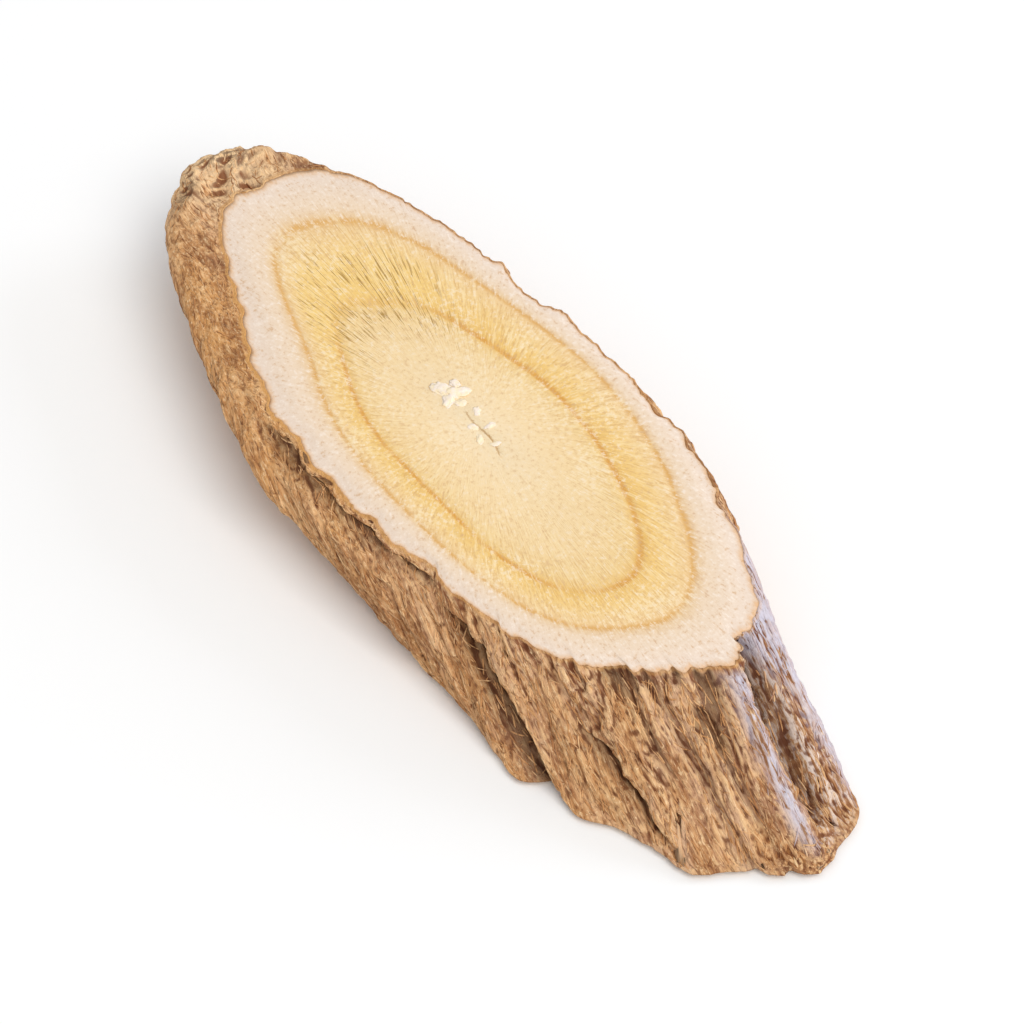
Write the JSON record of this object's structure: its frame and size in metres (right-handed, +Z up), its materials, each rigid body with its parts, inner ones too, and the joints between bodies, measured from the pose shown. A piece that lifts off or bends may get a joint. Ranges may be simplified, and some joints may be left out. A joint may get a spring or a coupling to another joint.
{
  "type": "dried astragalus root slice",
  "caption": "Thick oblique slice of dried astragalus root, lying flat: oval cut faces with growth rings, and a leaning strip of wrinkled bark.",
  "frame": {"origin": "on the table under the middle of the slice's box; the lower cut face lies at z = 0", "axes": "+X along the slice, from the thin lip to the long sloping end of the bark; +Z up, out of the upper cut face"},
  "size_m": [0.0594, 0.0206, 0.0059],
  "materials": {
    "dried_root": "matte, fibrous and unvarnished"
  },
  "bodies": {
    "root": {"root_slice": "dried_root"}
  },
  "joints": []
}
